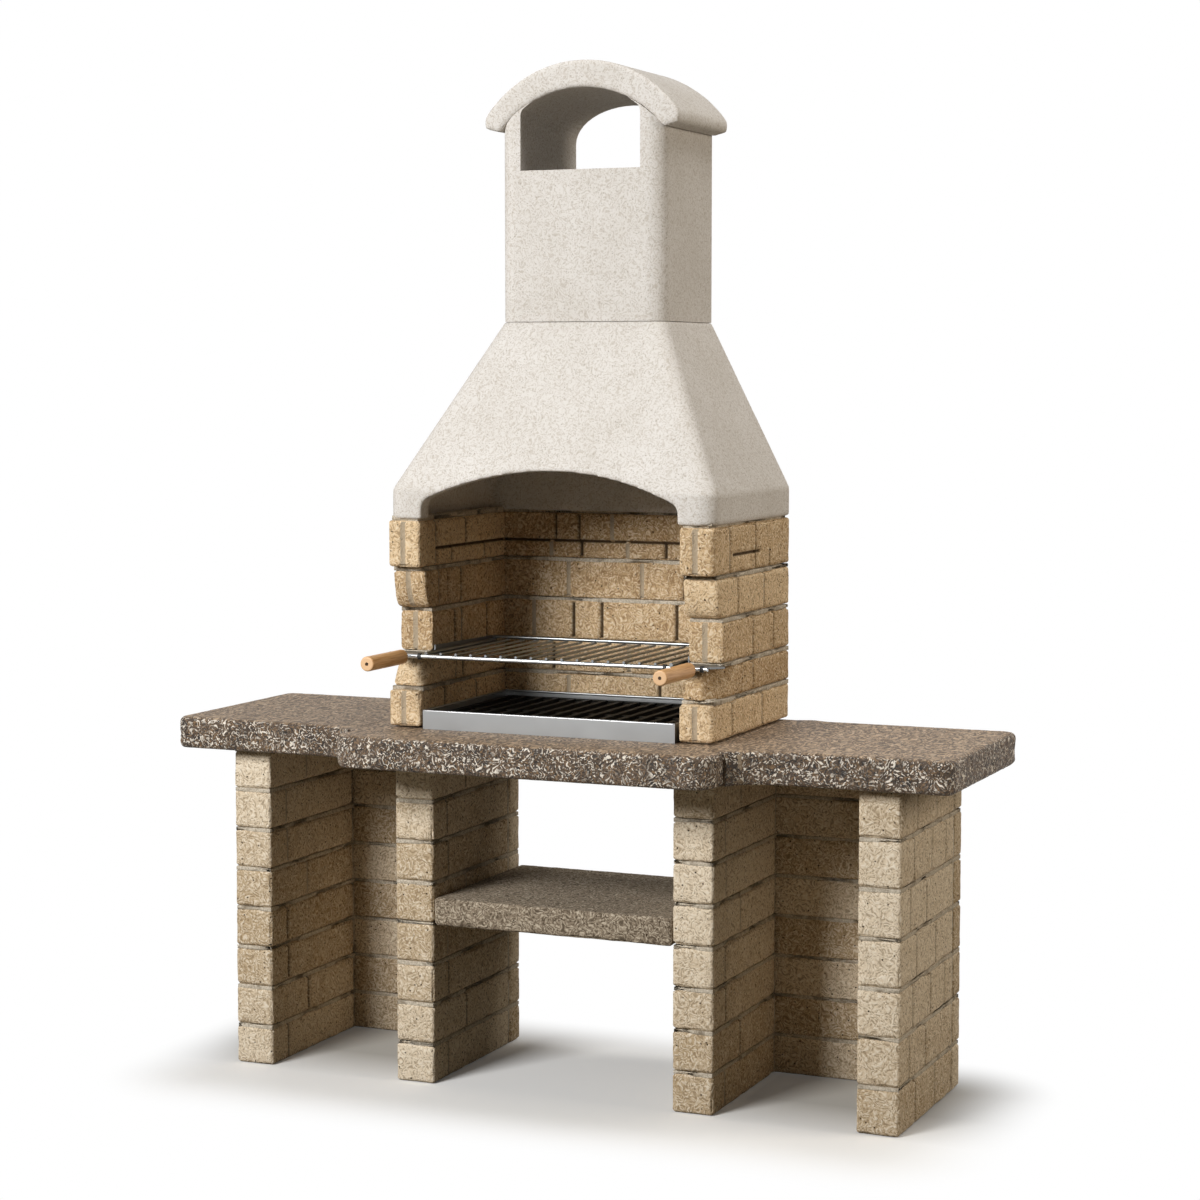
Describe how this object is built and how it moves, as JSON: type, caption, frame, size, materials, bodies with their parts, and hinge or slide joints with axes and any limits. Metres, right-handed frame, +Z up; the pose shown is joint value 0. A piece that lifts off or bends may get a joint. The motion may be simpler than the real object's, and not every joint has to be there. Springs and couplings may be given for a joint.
{
  "type": "masonry barbecue",
  "caption": "Freestanding masonry barbecue: block walls carry stone worktops, a shelf and a brick hearth with a sliding grill and fire tray under an arched hood and chimney.",
  "frame": {"origin": "on the ground, under the middle of the whole object's box", "axes": "+Z up, -Y towards the cook in front of the hearth, +X to the cook's right"},
  "size_m": [1.93, 0.704, 2.381],
  "materials": {
    "tumbled_block": "rough tumbled concrete block, sandy beige",
    "hearth_block": "rough tumbled firebrick, golden sand",
    "mortar": "raked grey-beige lime mortar",
    "shelf_stone": "worn precast slab, grey-brown",
    "aggregate_slab": "exposed aggregate concrete, dark brown with pale chips",
    "cast_stone": "fine cast refractory concrete, warm off-white with specks",
    "rail_steel": "plain bright-drawn steel angle",
    "chromed_wire": "bright chrome plate",
    "plain_steel": "zinc-plated steel",
    "black_ring": "black rubber ring",
    "beech": "turned beech, clear oiled",
    "tray_steel": "satin sheet steel",
    "cast_iron": "as-cast grey iron, sooted"
  },
  "bodies": {
    "masonry": {"left_end_wall": "tumbled_block", "left_inner_wall": "tumbled_block", "right_inner_wall": "tumbled_block", "right_end_wall": "tumbled_block", "left_bay_back": "tumbled_block", "right_bay_back": "tumbled_block", "left_base_mortar": "mortar", "right_base_mortar": "mortar", "shelf": "shelf_stone", "left_worktop_slab": "aggregate_slab", "hearth_slab": "aggregate_slab", "right_worktop_slab": "aggregate_slab", "worktop_grout": "mortar", "left_cheek_1": "hearth_block", "left_cheek_2": "hearth_block", "left_cheek_3": "hearth_block", "left_cheek_4": "hearth_block", "left_cheek_5": "hearth_block", "right_cheek_1": "hearth_block", "right_cheek_2": "hearth_block", "right_cheek_3": "hearth_block", "right_cheek_4": "hearth_block", "right_cheek_5": "hearth_block", "hearth_back_1": "hearth_block", "hearth_back_2": "hearth_block", "hearth_back_3": "hearth_block", "hearth_back_4": "hearth_block", "hearth_back_5": "hearth_block", "hearth_mortar": "mortar", "smoke_hood": "cast_stone", "flue_block": "cast_stone", "chimney_head": "cast_stone", "chimney_roof": "cast_stone", "left_grill_rail": "rail_steel", "right_grill_rail": "rail_steel"},
    "grill": {"grill_grid": "chromed_wire", "grill_front_bar": "chromed_wire", "left_handle_tang": "plain_steel", "right_handle_tang": "plain_steel", "left_handle_ferrule": "chromed_wire", "right_handle_ferrule": "chromed_wire", "left_stop_ring": "black_ring", "right_stop_ring": "black_ring", "left_handle": "beech", "right_handle": "beech", "left_handle_screw": "plain_steel", "right_handle_screw": "plain_steel"},
    "tray": {"fire_tray": "tray_steel"},
    "grate": {"charcoal_grate": "cast_iron"}
  },
  "joints": [
    {"name": "grill_slide", "type": "slide", "parent": "masonry", "child": "grill", "axis": [0, -1, 0], "range_m": [0, 0.25]},
    {"name": "tray_slide", "type": "slide", "parent": "masonry", "child": "tray", "axis": [0, -1, 0], "range_m": [0, 0.3]},
    {"name": "grate_lift", "type": "slide", "parent": "tray", "child": "grate", "axis": [0, 0, 1], "range_m": [0, 0.08]}
  ]
}
